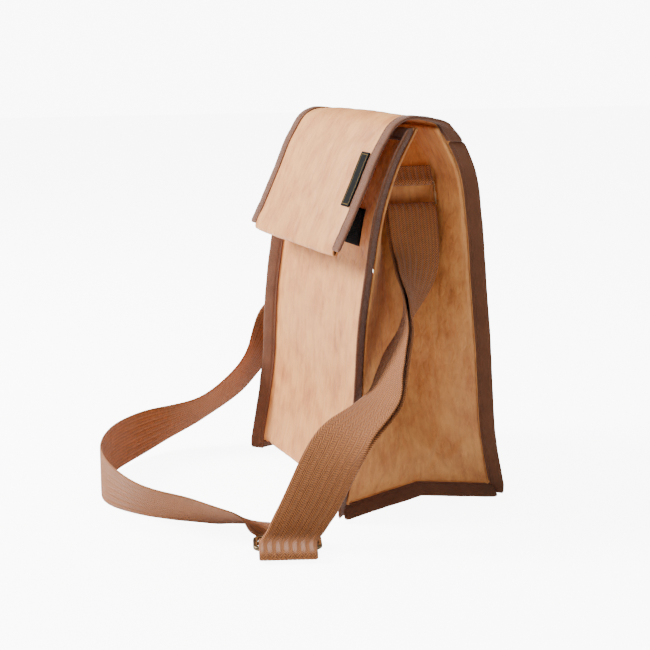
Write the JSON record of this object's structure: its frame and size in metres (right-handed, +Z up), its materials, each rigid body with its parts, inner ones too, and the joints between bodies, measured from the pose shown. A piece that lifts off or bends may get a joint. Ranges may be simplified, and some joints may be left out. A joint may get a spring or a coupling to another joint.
{
  "type": "fold-over shoulder bag",
  "caption": "Small fold-over shoulder bag of stiff kraft cloth with bound seams, inward side gussets, swinging strap rings and a webbing strap with a slider.",
  "frame": {"origin": "on the ground, under the middle of the bag's bottom, strap left out", "axes": "+X to the bag's right end, +Y to its back, +Z up; the flap opens at the front, -Y"},
  "size_m": [0.2852, 0.29, 0.2929],
  "materials": {
    "kraft_cloth": "matte, creased, papery",
    "brown_tape": "matte twill",
    "tan_webbing": "ribbed webbing",
    "hook_and_loop": "matte, fuzzy",
    "black_label": "woven satin",
    "ring_brass": "drawn wire, dulled",
    "slider_bronze": "antique plated wire"
  },
  "bodies": {
    "bag": {"front_panel": "kraft_cloth", "back_panel": "kraft_cloth", "bottom_panel": "kraft_cloth", "left_gusset": "kraft_cloth", "right_gusset": "kraft_cloth", "left_front_binding": "brown_tape", "left_back_binding": "brown_tape", "left_bottom_binding": "brown_tape", "right_front_binding": "brown_tape", "right_back_binding": "brown_tape", "right_bottom_binding": "brown_tape", "front_mouth_hem": "brown_tape", "loop_strip": "hook_and_loop", "left_strap_tab": "tan_webbing", "right_strap_tab": "tan_webbing", "strap_outer_layer": "tan_webbing", "strap_inner_layer": "tan_webbing", "strap_long_run": "tan_webbing"},
    "flap": {"flap_panel": "kraft_cloth", "flap_turned_end": "kraft_cloth", "left_flap_binding": "brown_tape", "right_flap_binding": "brown_tape", "hook_strip": "hook_and_loop", "woven_label": "black_label"},
    "right_ring": {"right_ring": "ring_brass", "right_ring_strap_loop": "tan_webbing"},
    "left_ring": {"left_ring": "ring_brass", "left_ring_strap_loop": "tan_webbing"},
    "slider": {"slider_frame": "slider_bronze", "slider_bar": "slider_bronze", "strap_sewn_end": "tan_webbing"}
  },
  "joints": [
    {"name": "flap_hinge", "type": "hinge", "parent": "bag", "child": "flap", "pos_m": [0, 0.013, 0.28418], "axis": [-1, 0, 0], "range_deg": [0, 165]},
    {"name": "right_ring_swing", "type": "hinge", "parent": "bag", "child": "right_ring", "pos_m": [0.05603, 0.0026, 0.243], "axis": [0, -1, 0], "range_deg": [-6, 40]},
    {"name": "left_ring_swing", "type": "hinge", "parent": "bag", "child": "left_ring", "pos_m": [-0.05603, 0.0026, 0.243], "axis": [0, 1, 0], "range_deg": [-6, 40]},
    {"name": "slider_slide", "type": "slide", "parent": "bag", "child": "slider", "axis": [0.9432, -0.3321, 0], "range_m": [0, 0.008]}
  ]
}
